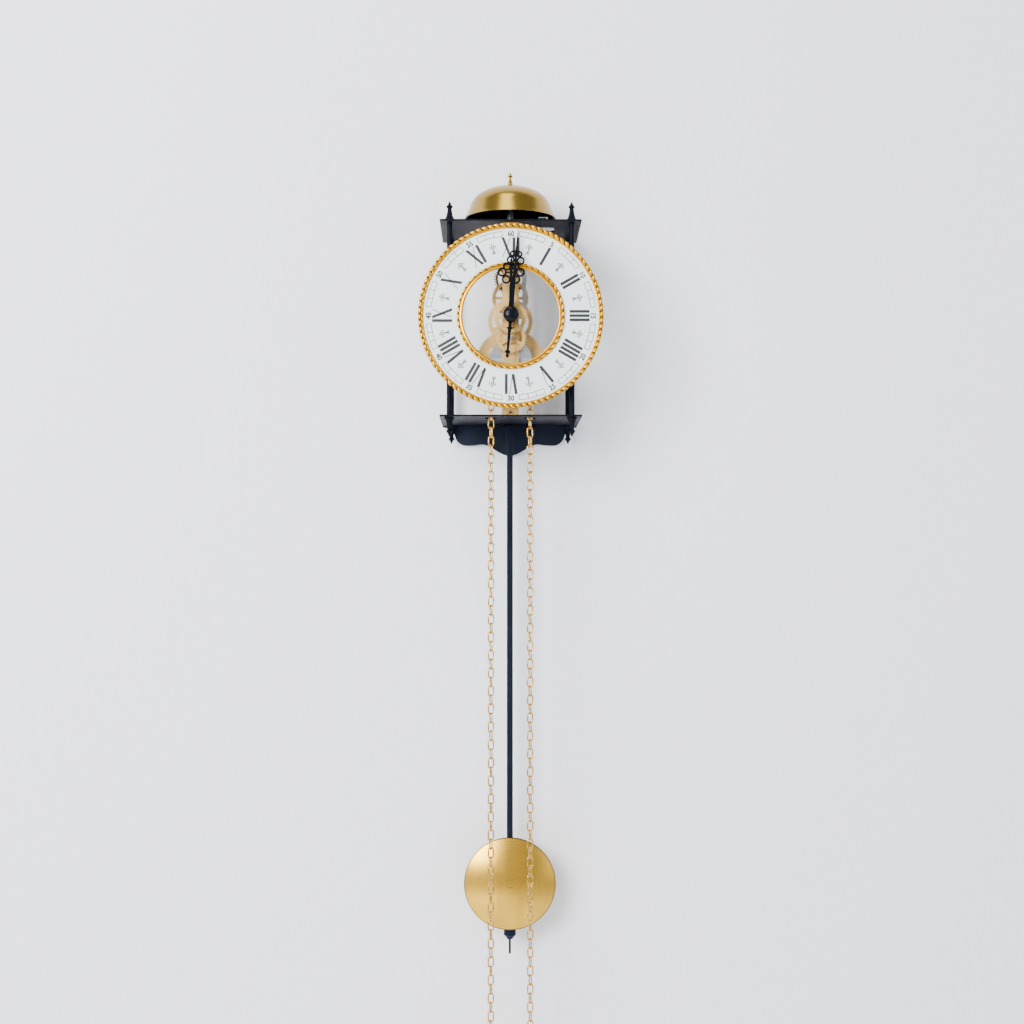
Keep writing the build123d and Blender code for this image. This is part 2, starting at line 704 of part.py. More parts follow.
with BuildPart() as escape_arbor:
    with BuildSketch(facing(rear_strip_front_y - 0.3, z=escape_z)):
        Circle(1.0)
    extrude(amount=rear_strip_front_y - front_strip_y - 0.6)
    with BuildSketch(facing(rear_strip_y + 0.4, z=escape_z)):
        Circle(pivot_radius)
    extrude(amount=rear_strip_y - strip_front_y + 0.8)
    with BuildSketch(facing(third_wheel_y + 1.2, z=escape_z)):
        draw_gear(escape_leaves, third_module, leaf_tooth, phase=270 + 180 / escape_leaves)
    extrude(amount=4.0)
    with BuildSketch(facing(escape_wheel_y + 1.4, z=escape_z)):
        Circle(2.2)
    extrude(amount=3.6)
finish(escape_arbor, "escape_arbor")

escape_radius = 14.8
with BuildPart() as escape_wheel:
    with BuildSketch(facing(escape_wheel_y, z=escape_z)):
        Circle(escape_radius - 2.1)
        with PolarLocations(0, escape_teeth):
            Polygon((12.2, -0.55), (escape_radius, 0.30), (escape_radius, 0.62), (12.2, 0.75), align=None)
        draw_windows(4.2, 10.8, 4, 2.0, start=45)
        Circle(2.2, mode=Mode.SUBTRACT)
    extrude(amount=0.9)
finish(escape_wheel, "escape_wheel")

# Anchor, its arbor and the crutch

anchor_hub_radius = 3.2
with BuildPart() as anchor:
    with BuildSketch(facing(escape_wheel_y + 1.0, z=swing_z)):
        Circle(anchor_hub_radius)
        Polygon((0, 3.0), (8.8, -0.6), (13.0, -6.2), (10.4, -7.6), (7.4, -4.0), (0, -2.8), align=None)
        Polygon((0, 3.0), (0, -2.8), (-7.4, -4.0), (-10.4, -7.6), (-13.0, -6.2), (-8.8, -0.6), align=None)
        Circle(1.1, mode=Mode.SUBTRACT)
    extrude(amount=2.8)
finish(anchor, "anchor")

with BuildPart() as anchor_arbor:
    with BuildSketch(facing(rear_strip_y + 5.2, z=swing_z)):
        Circle(1.1)
    extrude(amount=rear_strip_y + 5.2 - front_strip_y - 0.3)
    with BuildSketch(facing(rear_strip_y + 7.6, z=swing_z)):
        Circle(pivot_radius)
    extrude(amount=rear_strip_y + 7.6 - strip_front_y + 0.4)
finish(anchor_arbor, "anchor_arbor")

crutch_length = 38.0
with BuildPart() as crutch:
    with BuildSketch(facing(rear_strip_y + 4.2, z=swing_z)):
        Circle(2.6)
        with Locations((0, -crutch_length / 2)):
            Rectangle(2.4, crutch_length)
        with Locations((0, -crutch_length)):
            Circle(1.8)
        Circle(1.1, mode=Mode.SUBTRACT)
    extrude(amount=1.4)
    # pin that reaches back through the pendulum leader
    with BuildSketch(facing(rear_strip_y + 4.2, z=swing_z - crutch_length)):
        Circle(0.8)
    extrude(amount=-10.0)
finish(crutch, "crutch")

# Pendulum

spring_top_z = swing_z + 8.0
leader_top_z = swing_z - 3.0
hook_pin_z = bottom_plate_under_z - 4.0
with BuildPart() as suspension_spring:
    with BuildSketch(Plane.XY.offset(leader_top_z - 4.0)):
        with Locations((0, pendulum_y)):
            Rectangle(2 * spring_half_thickness, 6.0)
    extrude(amount=spring_top_z - leader_top_z + 4.0)
finish(suspension_spring, "suspension_spring")

with BuildPart() as pendulum_leader:
    with BuildSketch(Plane.XY.offset(leader_top_z - 7.0)):
        with Locations((0, pendulum_y)):
            Rectangle(4.0, 6.6)
    extrude(amount=7.0)
    with BuildSketch(Plane.XY.offset(leader_top_z - 4.2)):
        with Locations((0, pendulum_y)):
            Rectangle(2 * spring_half_thickness + 0.1, 6.8)
    extrude(amount=5.0, mode=Mode.SUBTRACT)
    with BuildSketch(facing(pendulum_y + 0.8, z=hook_pin_z)):
        with Locations((0, (leader_top_z - hook_pin_z) / 2 - 4.0)):
            Rectangle(4.0, leader_top_z - hook_pin_z - 6.0)
        Circle(2.6)
        Circle(0.9 + fit_gap, mode=Mode.SUBTRACT)
        with Locations((0, swing_z - crutch_length - hook_pin_z)):
            SlotOverall(7.0, 1.8, rotation=90, mode=Mode.SUBTRACT)
    extrude(amount=1.6)
finish(pendulum_leader, "pendulum_leader")

hook_bottom_z = hook_pin_z - 9.0
rod_top_z = hook_pin_z - 3.6
rod_end_z = bob_z - bob_radius + 7.0
with BuildPart() as pendulum_hook:
    with BuildSketch(facing(pendulum_y + 3.6, z=hook_pin_z)):
        with Locations((0, -3.2)):
            RectangleRounded(6.6, 11.6, 2.4)
    extrude(amount=7.2)
    with BuildSketch(facing(pendulum_y + 1.1, z=hook_pin_z)):
        with Locations((0, 1.4)):
            Rectangle(8.0, 9.2)
    extrude(amount=2.2, mode=Mode.SUBTRACT)
    with BuildSketch(Plane.XY.offset(hook_bottom_z - 1.0)):
        with Locations((0, pendulum_y)):
            Rectangle(rod_width + 0.04, rod_thickness + 0.04)
    extrude(amount=rod_top_z - hook_bottom_z + 1.0, mode=Mode.SUBTRACT)
    with BuildSketch(facing(pendulum_y + 3.0, z=hook_pin_z)):
        Circle(0.9)
    extrude(amount=6.0)
finish(pendulum_hook, "pendulum_hook")

with BuildPart() as pendulum_rod:
    with BuildSketch(Plane.XY.offset(rod_end_z)):
        with Locations((0, pendulum_y)):
            RectangleRounded(rod_width, rod_thickness, 0.5)
    extrude(amount=rod_top_z - 0.05 - rod_end_z)
finish(pendulum_rod, "pendulum_rod")

with BuildPart() as rating_screw:
    with BuildSketch(Plane.XY.offset(rating_screw_end_z)):
        with Locations((0, pendulum_y)):
            Circle(rating_screw_radius)
    extrude(amount=rod_end_z - rating_screw_end_z)
    chamfer(rating_screw.edges().group_by(Axis.Z)[0], 0.4)
finish(rating_screw, "rating_screw")

# lens-shaped bob: a domed front with a dark flat back, worn in front of the rod
bob_back_y = pendulum_y - rod_thickness / 2 - 0.4
bob_rim_thickness = 3.0
bob_dome = 6.0
bob_dome_radius = (bob_radius**2 + bob_dome**2) / (2 * bob_dome)
bob_half_drop = bob_dome_radius - sqrt(bob_dome_radius**2 - (bob_radius / 2) ** 2)
bob_apex_y = bob_back_y - bob_rim_thickness - bob_dome
with BuildPart() as pendulum_bob:
    with BuildSketch(Plane.XY.offset(bob_z)):
        with BuildLine():
            Line((0, bob_back_y), (bob_radius, bob_back_y))
            Line((bob_radius, bob_back_y), (bob_radius, bob_back_y - bob_rim_thickness))
            ThreePointArc(
                (bob_radius, bob_back_y - bob_rim_thickness),
                (bob_radius / 2, bob_apex_y + bob_half_drop),
                (0, bob_apex_y),
            )
            Line((0, bob_apex_y), (0, bob_back_y))
        make_face()
    revolve(axis=Axis((0, 0, bob_z), (0, 1, 0)))
finish(pendulum_bob, "pendulum_bob")

guide_length = 46.0
with BuildPart() as bob_guide:
    with BuildSketch(Plane.XY.offset(bob_z - guide_length / 2)):
        with Locations((0, pendulum_y + 0.1)):
            Rectangle(rod_width + 4.0, rod_thickness + 1.0)
        with Locations((0, pendulum_y)):
            Rectangle(rod_width + 0.3, rod_thickness + 0.3, mode=Mode.SUBTRACT)
        with Locations((0, bob_back_y)):
            Rectangle(rod_width + 10.0, 1.2, mode=Mode.SUBTRACT)
        with Locations((-5.4, bob_back_y + 0.3), (5.4, bob_back_y + 0.3)):
            Rectangle(4.0, 0.6)
        with Locations((-3.85, bob_back_y + 0.8), (3.85, bob_back_y + 0.8)):
            Rectangle(1.7, 1.6)
    extrude(amount=guide_length)
finish(bob_guide, "bob_guide")

with BuildPart() as rating_nut:
    with BuildSketch(upright(0, pendulum_y, nut_top_z)):
        with BuildLine():
            Polyline(
                (rating_screw_radius + fit_gap, 0),
                (4.6, 0),
                (nut_radius, -0.8),
                (nut_radius, -4.6),
                (4.4, -5.4),
                (2.4, -8.2),
                (rating_screw_radius + fit_gap, -8.2),
                close=True,
            )
        make_face()
    revolve(axis=vertical(0, pendulum_y))
    # finger grips round the rim
    with BuildSketch(Plane.XY.offset(nut_top_z - 5.6)):
        with Locations((0, pendulum_y)):
            with PolarLocations(nut_radius + 0.35, 12):
                Circle(0.9)
    extrude(amount=6.0, mode=Mode.SUBTRACT)
finish(rating_nut, "rating_nut")

# Motion work and hands

minute_module = 2 * (centre_z - minute_z) / (minute_teeth + cannon_leaves)
hour_module = 2 * (centre_z - minute_z) / (hour_teeth + minute_leaves)
hour_hand_y = -108.6
minute_hand_y = -111.8
hand_thickness = 0.8
cannon_bore = 1.2 + 0.02
with BuildPart() as cannon_pinion:
    with BuildSketch(facing(motion_wheel_y + 0.6)):
        draw_gear(cannon_leaves, minute_module, leaf_tooth, phase=270 + 180 / cannon_leaves)
    extrude(amount=2.4)
    with BuildSketch(facing(motion_wheel_y - 1.8)):
        Circle(1.9)
    extrude(amount=motion_wheel_y - 1.8 - minute_hand_y + hand_thickness)
    with BuildSketch(facing(motion_wheel_y + 2.0)):
        Circle(cannon_bore)
    extrude(amount=30.0, mode=Mode.SUBTRACT)
finish(cannon_pinion, "cannon_pinion")

with BuildPart() as minute_wheel:
    with BuildSketch(facing(motion_wheel_y, z=minute_z)):
        draw_gear(minute_teeth, minute_module, wheel_tooth, phase=90)
        draw_windows(4.6, 9.6, 3, 2.6, start=90)
        Circle(2.0, mode=Mode.SUBTRACT)
    extrude(amount=wheel_thickness)
finish(minute_wheel, "minute_wheel")

with BuildPart() as minute_pinion:
    with BuildSketch(facing(hour_wheel_y + 0.8, z=minute_z)):
        draw_gear(minute_leaves, hour_module, leaf_tooth, phase=90)
    extrude(amount=3.0)
    with BuildSketch(facing(motion_wheel_y + 0.6, z=minute_z)):
        Circle(2.0)
    extrude(amount=motion_wheel_y + 0.6 - hour_wheel_y - 0.8)
    with BuildSketch(facing(motion_wheel_y + 1.0, z=minute_z)):
        Circle(stud_radius + fit_gap)
    extrude(amount=12.0, mode=Mode.SUBTRACT)
finish(minute_pinion, "minute_pinion")

hour_pipe_bore = 1.95
with BuildPart() as hour_wheel:
    with BuildSketch(facing(hour_wheel_y)):
        draw_gear(hour_teeth, hour_module, wheel_tooth, phase=270 + 180 / hour_teeth)
        draw_windows(4.8, 10.4, 4, 3.0, start=0)
    extrude(amount=wheel_thickness)
    with BuildSketch(facing(hour_wheel_y)):
        Circle(2.9)
    extrude(amount=hour_wheel_y - hour_hand_y + hand_thickness)
    with BuildSketch(facing(hour_wheel_y + 1.0)):
        Circle(hour_pipe_bore)
    extrude(amount=30.0, mode=Mode.SUBTRACT)
finish(hour_wheel, "hour_wheel")


def draw_loop(x, height, outer, inner):
    # an open ring of a pierced hand, and the same on the other side of its middle line
    places = [(x, height), (-x, height)] if x else [(0, height)]
    with Locations(*places):
        Circle(outer)
    with Locations(*places):
        Circle(inner, mode=Mode.SUBTRACT)


with BuildPart() as hour_hand:
    with BuildSketch(facing(hour_hand_y, turn=hour_turn)):
        draw_loop(7.6, 36.4, 3.9, 2.4)
        draw_loop(4.2, 30.2, 3.7, 2.2)
        draw_loop(3.7, 41.2, 3.4, 2.0)
        Polygon((-2.2, 0), (2.2, 0), (1.3, 26.0), (-1.3, 26.0), align=None)
        Polygon((-0.9, 25.0), (0.9, 25.0), (1.5, 44.0), (0, 50.2), (-1.5, 44.0), align=None)
        with Locations((0, 36.2)):
            Rectangle(9.0, 1.2)
        Circle(5.0)
        Circle(2.9, mode=Mode.SUBTRACT)
    extrude(amount=hand_thickness)
finish(hour_hand, "hour_hand")

with BuildPart() as minute_hand:
    with BuildSketch(facing(minute_hand_y, turn=minute_turn)):
        draw_loop(4.2, 46.0, 3.5, 2.0)
        draw_loop(2.6, 51.6, 2.7, 1.4)
        Polygon((-1.8, 3.0), (1.8, 3.0), (1.2, 43.0), (-1.2, 43.0), align=None)
        Polygon((-0.9, 42.0), (0.9, 42.0), (0.9, 56.0), (0.35, 71.6), (-0.35, 71.6), (-0.9, 56.0), align=None)
        Polygon((-1.6, -3.0), (-0.95, -30.0), (0.95, -30.0), (1.6, -3.0), align=None)
        Polygon((-3.0, -11.4), (0, -9.6), (3.0, -11.4), (0, -13.6), align=None)
        Polygon((-2.5, -31.6), (0, -28.6), (2.5, -31.6), (0, -34.8), align=None)
        with Locations((0, -35.2)):
            Circle(1.4)
        Circle(4.2)
        Circle(1.9, mode=Mode.SUBTRACT)
    extrude(amount=hand_thickness)
finish(minute_hand, "minute_hand")

button_back_y = minute_hand_y - hand_thickness - 0.1
button_front_y = hand_end_y - 1.4
button_radius = 6.9
with BuildPart() as hand_button:
    with BuildSketch(Plane.XY.offset(centre_z)):
        with BuildLine():
            Polyline(
                (0, button_front_y),
                (0, hand_end_y - 0.1),
                (cannon_bore, hand_end_y - 0.1),
                (cannon_bore, button_back_y),
                (button_radius, button_back_y),
                (button_radius, button_back_y - 1.0),
            )
            Spline(
                (button_radius, button_back_y - 1.0),
                (0, button_front_y),
                tangents=[(0, -1), (-1, 0)],
            )
        make_face()
    revolve(axis=Axis((0, 0, centre_z), (0, 1, 0)))
finish(hand_button, "hand_button")

# Hammer

lever_top = (11.4, centre_z + 58.0)
with BuildPart() as hammer_lever:
    with BuildSketch(facing(hammer_lever_y, z=hammer_pivot[1], x=hammer_pivot[0])):
        Circle(3.0)
        Polygon((-1.7, 0), (1.7, 0), (0.8, 53.0), (-2.0, 53.0), align=None)
        Polygon((-1.4, 0), (1.4, 0), (-1.4, -11.4), (-3.4, -10.6), align=None)
        Circle(stud_radius + fit_gap, mode=Mode.SUBTRACT)
    extrude(amount=1.5)
    # round wire that rises through the slot in the top plate
    with BuildLine() as wire_path:
        FilletPolyline(
            (lever_top[0], hammer_lever_y - 0.75, lever_top[1] - 8.0),
            (lever_top[0], hammer_lever_y - 0.75, lever_top[1] + 3.0),
            (27.5, -60.0, centre_z + 80.0),
            (hammer_head_place[0], hammer_head_place[1], hammer_head_place[2] - 3.0),
            radius=4.0,
        )
    with BuildSketch(Plane(origin=wire_path.line @ 0, z_dir=wire_path.line % 0)):
        Circle(1.05)
    sweep()
finish(hammer_lever, "hammer_lever")

with BuildPart() as hammer_head:
    with BuildSketch(Plane.YZ.offset(hammer_head_place[0] - 4.0)):
        with Locations((hammer_head_place[1], hammer_head_place[2])):
            Circle(3.4)
    extrude(amount=8.0)
    chamfer(hammer_head.edges(), 0.6)
    with BuildSketch(Plane.XY.offset(hammer_head_place[2] - 6.0)):
        with Locations((hammer_head_place[0], hammer_head_place[1])):
            Circle(1.4)
    extrude(amount=3.2, mode=Mode.SUBTRACT)
finish(hammer_head, "hammer_head")

# Chain


def draw_link_path():
    # the middle line of one link, upright in the line that is open
    bend = (link_width - 2 * chain_wire) / 2
    straight = link_inside_length / 2 + chain_wire - bend
    right = Line((bend, -straight), (bend, straight))
    ThreePointArc(right @ 1, (0, straight + bend), (-bend, straight))
    left = Line((-bend, straight), (-bend, -straight))
    ThreePointArc(left @ 1, (0, -straight - bend), right @ 0)


# one link with its length along Z, wide along X
with BuildPart() as face_link:
    with BuildLine(Plane.XZ):
        draw_link_path()
    with BuildSketch(Plane.XY):
        with Locations(((link_width - 2 * chain_wire) / 2, 0)):
            Circle(chain_wire)
    sweep()


def strand_places(side, first_turn):
    # links of one hanging strand, each turned a quarter turn from the one above
    return [
        Location((side * strand_x, chain_y, great_z - n * chain_pitch), (0, 0, 90 * ((n + first_turn) % 2)))
        for n in range(1, strand_links + 1)
    ]


with BuildPart() as chain_left:
    with Locations(*strand_places(-1, 1)):
        add(face_link.part)
finish(chain_left, "chain_left")

with BuildPart() as chain_right:
    with Locations(*strand_places(1, 0)):
        add(face_link.part)
finish(chain_right, "chain_right")

# links over the top half of the sprocket, every other one flat on its drum
wrap_places = []
for n in range(sprocket_links // 2 + 1):
    angle = n * 360 / sprocket_links
    place = Location((strand_x * cos(radians(angle)), chain_y, great_z + strand_x * sin(radians(angle))))
    wrap_places.append(place * Location((0, 0, 0), (0, -angle, 0)) * Location((0, 0, 0), (0, 0, 90 * (n % 2))))
with BuildPart() as chain_wrap:
    with Locations(*wrap_places):
        add(face_link.part)
finish(chain_wrap, "chain_wrap")

# Weight and pull ring

last_link_z = great_z - strand_links * chain_pitch
link_floor_z = last_link_z - link_inside_length / 2
eye_wire = 1.0
eye_radius = 3.2
eye_z = link_floor_z + eye_wire + 0.1 - eye_radius
weight_top_z = eye_z - eye_radius - 4.0
with BuildPart() as weight_hook:
    with BuildSketch(facing(chain_y, z=eye_z, x=-strand_x)):
        with Locations((0, eye_radius)):
            Circle(eye_wire)
    revolve(axis=Axis((0, chain_y, eye_z), (1, 0, 0)))
    with BuildSketch(Plane.XY.offset(weight_top_z - 8.0)):
        with Locations((-strand_x, chain_y)):
            Circle(1.6)
    extrude(amount=eye_z - eye_radius - weight_top_z + 8.0)
finish(weight_hook, "weight_hook")

with BuildPart() as weight_shell:
    with BuildSketch(upright(-strand_x, chain_y, weight_top_z)):
        with BuildLine():
            Line((1.6 + fit_gap, 0), (6.0, 0))
            Spline((6.0, 0), (14.0, -3.0), (weight_radius - 0.8, -8.0), tangents=[(1, 0), (0.35, -1)])
            Polyline(
                (weight_radius - 0.8, -8.0),
                (weight_radius, -8.8),
                (weight_radius, -weight_height + 7.0),
                (weight_radius - 0.8, -weight_height + 6.2),
            )
            Spline(
                (weight_radius - 0.8, -weight_height + 6.2),
                (12.0, -weight_height + 1.6),
                (0, -weight_height),
                tangents=[(-0.5, -1), (-1, 0)],
            )
            Polyline((0, -weight_height), (0, -8.2), (1.6 + fit_gap, -8.2), (1.6 + fit_gap, 0))
        make_face()
    revolve(axis=vertical(-strand_x, chain_y))
finish(weight_shell, "weight_shell")

ring_wire = 1.3
ring_radius = 8.0
with BuildPart() as chain_ring:
    ring_z = link_floor_z + ring_wire + 0.1 - ring_radius
    with BuildSketch(Plane.YZ.offset(strand_x)):
        with Locations((chain_y, ring_z + ring_radius)):
            Circle(ring_wire)
    revolve(axis=Axis((strand_x, 0, ring_z), (0, 1, 0)))
finish(chain_ring, "chain_ring")
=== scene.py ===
import json
from math import cos, pi, radians, sin, sqrt

import bmesh
import bpy
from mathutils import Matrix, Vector


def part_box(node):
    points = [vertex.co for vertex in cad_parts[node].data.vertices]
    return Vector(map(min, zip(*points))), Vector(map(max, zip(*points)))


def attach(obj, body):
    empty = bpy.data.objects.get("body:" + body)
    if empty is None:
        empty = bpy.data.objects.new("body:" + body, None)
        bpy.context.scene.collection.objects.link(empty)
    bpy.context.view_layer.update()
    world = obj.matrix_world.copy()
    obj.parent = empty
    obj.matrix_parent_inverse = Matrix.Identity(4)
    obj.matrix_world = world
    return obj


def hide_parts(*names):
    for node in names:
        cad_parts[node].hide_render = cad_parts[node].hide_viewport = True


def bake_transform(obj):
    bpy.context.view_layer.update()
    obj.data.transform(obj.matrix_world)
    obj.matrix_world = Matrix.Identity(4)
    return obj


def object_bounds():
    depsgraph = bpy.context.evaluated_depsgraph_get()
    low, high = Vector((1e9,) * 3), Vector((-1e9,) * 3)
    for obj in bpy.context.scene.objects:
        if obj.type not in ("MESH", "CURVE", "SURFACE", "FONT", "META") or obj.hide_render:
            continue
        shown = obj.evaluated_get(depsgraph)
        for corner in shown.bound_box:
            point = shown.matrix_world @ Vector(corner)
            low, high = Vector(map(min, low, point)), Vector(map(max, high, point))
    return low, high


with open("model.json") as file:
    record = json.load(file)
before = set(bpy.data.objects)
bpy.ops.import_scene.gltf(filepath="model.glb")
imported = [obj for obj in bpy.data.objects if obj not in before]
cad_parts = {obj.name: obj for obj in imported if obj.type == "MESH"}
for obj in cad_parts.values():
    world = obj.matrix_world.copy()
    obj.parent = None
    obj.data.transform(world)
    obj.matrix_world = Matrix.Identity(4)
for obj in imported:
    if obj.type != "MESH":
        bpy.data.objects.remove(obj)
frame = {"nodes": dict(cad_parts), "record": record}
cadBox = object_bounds()
nodes = frame["nodes"]
mm = 0.001
print("frame loaded")


# places taken from the frame
def middleOf(name):
    low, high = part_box(name)
    return (low + high) / 2


dialCentre = middleOf("dial")
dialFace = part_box("dial")[0].y


def newMaterial(name):
    material = bpy.data.materials.new(name)
    material.use_nodes = True
    tree = material.node_tree
    shader = tree.nodes["Principled BSDF"]
    return material, tree, shader


def addNode(tree, kind, **settings):
    node = tree.nodes.new(kind)
    for key, value in settings.items():
        if key in node.inputs:
            node.inputs[key].default_value = value
        else:
            setattr(node, key, value)
    return node


def objectCoordinates(tree, scale=(1, 1, 1), location=(0, 0, 0)):
    coordinates = addNode(tree, "ShaderNodeTexCoord")
    mapping = addNode(tree, "ShaderNodeMapping")
    mapping.inputs["Scale"].default_value = scale
    mapping.inputs["Location"].default_value = location
    tree.links.new(coordinates.outputs["Object"], mapping.inputs["Vector"])
    return mapping.outputs["Vector"]


def noise(tree, vector, scale, detail=4.0, roughness=0.6):
    node = addNode(tree, "ShaderNodeTexNoise")
    node.inputs["Scale"].default_value = scale
    node.inputs["Detail"].default_value = detail
    node.inputs["Roughness"].default_value = roughness
    tree.links.new(vector, node.inputs["Vector"])
    return node.outputs["Fac"]


def ramp(tree, factor, stops):
    node = addNode(tree, "ShaderNodeValToRGB")
    node.color_ramp.elements[0].position = stops[0][0]
    node.color_ramp.elements[0].color = (*stops[0][1], 1)
    node.color_ramp.elements[1].position = stops[-1][0]
    node.color_ramp.elements[1].color = (*stops[-1][1], 1)
    for place, colour in stops[1:-1]:
        stop = node.color_ramp.elements.new(place)
        stop.color = (*colour, 1)
    tree.links.new(factor, node.inputs["Fac"])
    return node.outputs["Color"]


def mapRange(tree, value, low, high, fromLow=0.0, fromHigh=1.0):
    node = addNode(tree, "ShaderNodeMapRange")
    node.inputs["From Min"].default_value = fromLow
    node.inputs["From Max"].default_value = fromHigh
    node.inputs["To Min"].default_value = low
    node.inputs["To Max"].default_value = high
    tree.links.new(value, node.inputs["Value"])
    return node.outputs["Result"]


def bump(tree, height, shader, strength, distance):
    node = addNode(tree, "ShaderNodeBump")
    node.inputs["Strength"].default_value = strength
    node.inputs["Distance"].default_value = distance
    tree.links.new(height, node.inputs["Height"])
    tree.links.new(node.outputs["Normal"], shader.inputs["Normal"])


def shade(colour, factor):
    return tuple(channel * factor for channel in colour)


finishes = {
    "blackPaint": {
        "colour": (0.003, 0.004, 0.008), "roughness": (0.38, 0.52), "grain": 700, "bump": 0.10,
        "shine": 0.05,
    },
    "texturedBlack": {
        "colour": (0.005, 0.009, 0.020), "roughness": (0.40, 0.58), "grain": 620, "bump": 1.0,
        "shine": 0.14,
    },
    "handBlack": {
        "colour": (0.002, 0.003, 0.005), "roughness": (0.16, 0.28), "grain": 900, "bump": 0.06,
        "shine": 0.12,
    },
    "rodBlack": {
        "colour": (0.004, 0.007, 0.016), "roughness": (0.28, 0.42), "grain": 800, "bump": 0.08,
        "shine": 0.12,
    },
    "rubber": {
        "colour": (0.02, 0.02, 0.02), "roughness": (0.7, 0.85), "grain": 900, "bump": 0.2,
        "shine": 0.3,
    },
}


def paintMaterial(name, look):
    material, tree, shader = newMaterial(name)
    vector = objectCoordinates(tree)
    broad = noise(tree, vector, 35)
    fine = noise(tree, vector, look["grain"], detail=3)
    darker, lighter = shade(look["colour"], 0.75), shade(look["colour"], 1.35)
    colour = ramp(tree, broad, [(0.3, darker), (0.7, lighter)])
    tree.links.new(colour, shader.inputs["Base Color"])
    tree.links.new(mapRange(tree, broad, *look["roughness"]), shader.inputs["Roughness"])
    shader.inputs["Specular IOR Level"].default_value = look["shine"]
    bump(tree, fine, shader, look["bump"], 0.0002)
    return material


metals = {
    "trainBrass": {"colour": (0.72, 0.47, 0.17), "roughness": (0.26, 0.42), "tarnish": 0.80},
    # the escape wheel's brass is darkened to paint the shadow it stands in
    "escapeBrassPaintedShadow": {"colour": (0.20, 0.10, 0.025), "roughness": (0.30, 0.45), "tarnish": 0.6},
    "chainBrass": {"colour": (0.66, 0.39, 0.09), "roughness": (0.18, 0.32), "tarnish": 0.72},
    "steel": {"colour": (0.50, 0.51, 0.53), "roughness": (0.25, 0.40), "tarnish": 0.8},
    "polishedSteel": {"colour": (0.82, 0.86, 0.90), "roughness": (0.10, 0.22), "tarnish": 0.9},
    "gilt": {"colour": (0.82, 0.40, 0.012), "roughness": (0.22, 0.36), "tarnish": 0.80},
}


def metalMaterial(name, look):
    material, tree, shader = newMaterial(name)
    vector = objectCoordinates(tree)
    broad = noise(tree, vector, 60)
    scratches = noise(tree, objectCoordinates(tree, scale=(1, 1, 12)), 500, detail=2)
    tarnished = shade(look["colour"], look["tarnish"])
    colour = ramp(tree, broad, [(0.3, tarnished), (0.65, look["colour"])])
    tree.links.new(colour, shader.inputs["Base Color"])
    tree.links.new(mapRange(tree, broad, *look["roughness"]), shader.inputs["Roughness"])
    shader.inputs["Metallic"].default_value = 1.0
    bump(tree, scratches, shader, 0.06, 0.0001)
    return material


spunBrass = {
    "bell": {"colour": (0.34, 0.21, 0.035), "roughness": (0.20, 0.30), "rings": 2600, "bump": 0.10},
    "bob": {"colour": (0.78, 0.46, 0.05), "roughness": (0.22, 0.30), "rings": 2200, "bump": 0.04},
    "weight": {
        "colour": (0.80, 0.56, 0.24), "roughness": (0.14, 0.24), "rings": 2400, "bump": 0.06,
    },
}


def spunMaterial(name, look, centre, across):
    # fine turning marks run round the axis through centre; across are the two axes they spread over
    material, tree, shader = newMaterial(name)
    coordinates = addNode(tree, "ShaderNodeTexCoord")
    mapping = addNode(tree, "ShaderNodeMapping")
    mapping.inputs["Location"].default_value = [-c * a for c, a in zip(centre, across)]
    mapping.inputs["Scale"].default_value = across
    tree.links.new(coordinates.outputs["Object"], mapping.inputs["Vector"])
    length = addNode(tree, "ShaderNodeVectorMath", operation="LENGTH")
    tree.links.new(mapping.outputs["Vector"], length.inputs[0])
    marks = addNode(tree, "ShaderNodeTexNoise", noise_dimensions="1D")
    marks.inputs["Scale"].default_value = look["rings"]
    marks.inputs["Detail"].default_value = 3.0
    tree.links.new(length.outputs["Value"], marks.inputs["W"])
    broad = noise(tree, objectCoordinates(tree), 45)
    colour = ramp(tree, broad, [(0.25, shade(look["colour"], 0.78)), (0.7, look["colour"])])
    tree.links.new(colour, shader.inputs["Base Color"])
    roughness = mapRange(tree, marks.outputs["Fac"], *look["roughness"])
    tree.links.new(roughness, shader.inputs["Roughness"])
    shader.inputs["Metallic"].default_value = 1.0
    bump(tree, marks.outputs["Fac"], shader, look["bump"], 0.0001)
    return material


def tint(material, share, colour):
    # mixes another colour over the material's own by share
    tree = material.node_tree
    shader = tree.nodes["Principled BSDF"]
    mix = addNode(tree, "ShaderNodeMix", data_type="RGBA")
    tree.links.new(share, mix.inputs["Factor"])
    tree.links.new(shader.inputs["Base Color"].links[0].from_socket, mix.inputs[6])
    mix.inputs[7].default_value = (*colour, 1)
    tree.links.new(mix.outputs[2], shader.inputs["Base Color"])


def darkenInside(material):
    # painted shade: darkens the faces that look towards the turning axis, inside the bell, almost
    # to black
    tree = material.node_tree
    mapping = next(node for node in tree.nodes if node.bl_idname == "ShaderNodeMapping")
    geometry = addNode(tree, "ShaderNodeNewGeometry")
    facing = addNode(tree, "ShaderNodeVectorMath", operation="DOT_PRODUCT")
    tree.links.new(mapping.outputs["Vector"], facing.inputs[0])
    tree.links.new(geometry.outputs["Normal"], facing.inputs[1])
    inward = mapRange(tree, facing.outputs["Value"], 1.0, 0.0, -0.001, 0.0)
    tint(material, inward, (0.012, 0.008, 0.004))


def darkenHollows(material):
    tree = material.node_tree
    # painted shade: darkens the rope's crevices between turns by how deep each point lies
    attribute = addNode(tree, "ShaderNodeAttribute", attribute_name="creviceShade")
    depth = mapRange(tree, attribute.outputs["Fac"], 0.0, 0.9, 0.12, 0.6)
    tint(material, depth, (0.06, 0.02, 0.002))


def darkenRim(material, radius):
    # painted shade: darkens the metal beyond the given radius from the turning axis, a dark edge
    # round the bob
    tree = material.node_tree
    length = next(node for node in tree.nodes if node.bl_idname == "ShaderNodeVectorMath")
    share = mapRange(tree, length.outputs["Value"], 0.0, 1.0, radius - 0.0002, radius + 0.0002)
    tint(material, share, (0.10, 0.055, 0.015))


